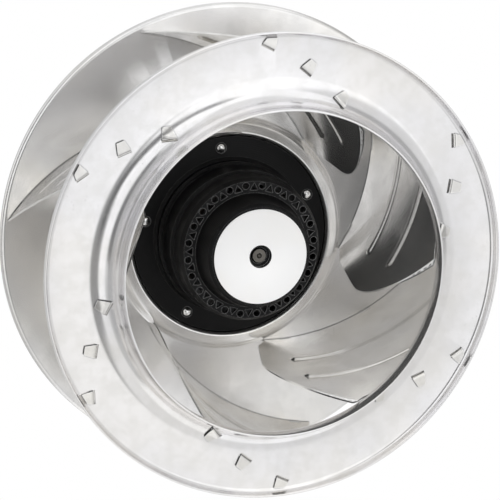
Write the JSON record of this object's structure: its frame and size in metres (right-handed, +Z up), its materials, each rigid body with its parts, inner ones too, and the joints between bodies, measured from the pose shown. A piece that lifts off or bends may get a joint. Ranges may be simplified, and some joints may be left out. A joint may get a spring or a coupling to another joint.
{
  "type": "radial fan",
  "caption": "Backward curved radial fan: a sheet metal wheel with an inlet collar, riveted to an external rotor motor on a round mounting flange.",
  "frame": {"origin": "centre of the flat rear face of the stator flange, on the wheel's axis", "axes": "+Y along the axis out of the rear face, the inlet faces -Y, +Z up as in the picture, +X to the right seen from the inlet"},
  "size_m": [0.25, 0.1142, 0.25],
  "materials": {
    "wheel_sheet": "satin",
    "blade_sheet": "satin",
    "black_paint": "satin",
    "cage_iron": "dull",
    "label_film": "matt",
    "rivet_zinc": "bright",
    "shaft_steel": "ground",
    "bearing_steel": "polished",
    "spring_steel": "plain",
    "cast_aluminium": "as cast",
    "laminations": "dull",
    "insulation": "matt",
    "coil_varnish": "varnished",
    "black_rubber": "matt"
  },
  "bodies": {
    "stator": {"stator_flange": "cast_aluminium", "bearing_tube": "cast_aluminium", "stator_core": "laminations", "front_insulator": "insulation", "rear_insulator": "insulation", "front_coil_ends": "coil_varnish", "rear_coil_ends": "coil_varnish", "front_bearing_outer_ring": "bearing_steel", "rear_bearing_outer_ring": "bearing_steel", "wave_spring": "spring_steel", "cable_grommet": "black_rubber"},
    "impeller": {"front_ring": "wheel_sheet", "back_plate": "wheel_sheet", "blade_1": "blade_sheet", "blade_2": "blade_sheet", "blade_3": "blade_sheet", "blade_4": "blade_sheet", "blade_5": "blade_sheet", "blade_6": "blade_sheet", "rotor_housing": "black_paint", "rotor_core": "cage_iron", "rotor_label": "label_film", "rivet_1": "rivet_zinc", "rivet_2": "rivet_zinc", "rivet_3": "rivet_zinc", "rivet_4": "rivet_zinc", "rivet_5": "rivet_zinc", "shaft": "shaft_steel", "shaft_circlip": "spring_steel", "front_bearing_inner_ring": "bearing_steel", "rear_bearing_inner_ring": "bearing_steel"}
  },
  "joints": [
    {"name": "impeller_spin", "type": "hinge", "parent": "stator", "child": "impeller", "pos_m": [0, -0.04, 0], "axis": [0, 1, 0], "continuous": true}
  ]
}
